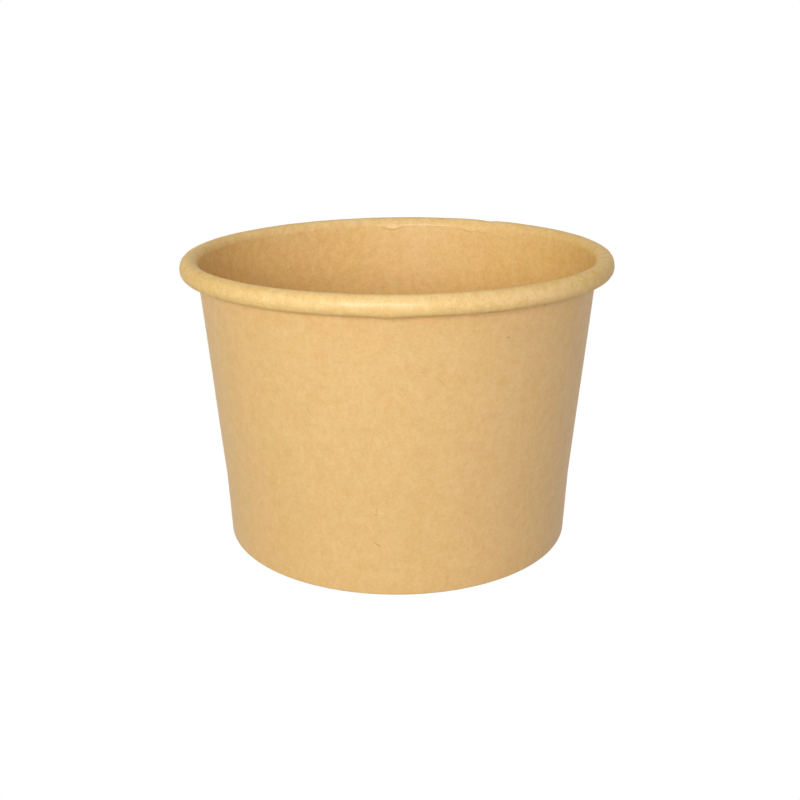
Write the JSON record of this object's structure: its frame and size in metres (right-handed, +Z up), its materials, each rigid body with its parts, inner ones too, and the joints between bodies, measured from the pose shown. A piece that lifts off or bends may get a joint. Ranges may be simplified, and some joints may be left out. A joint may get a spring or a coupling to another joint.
{
  "type": "portion cup",
  "caption": "Small open kraft paperboard portion cup with a rolled rim, a lapped side seam and a recessed base, for cold desserts, snacks or dips.",
  "frame": {"origin": "on the cup's axis, in the plane that it stands on, which is the bottom centre of its box", "axes": "+Z up along the cup's axis; -Y towards the picture's camera; the side seam's inner edge is 58.5 degrees counter-clockwise from +X"},
  "size_m": [0.074, 0.074, 0.0502],
  "materials": {
    "kraft_sidewall": "unbleached kraft board, fibrous and matt outside, with a thin clear coating inside",
    "kraft_base": "unbleached kraft board, fibrous and matt, with a thin clear coating on the inside"
  },
  "bodies": {
    "root": {"sidewall": "kraft_sidewall", "base_disc": "kraft_base"}
  },
  "joints": []
}
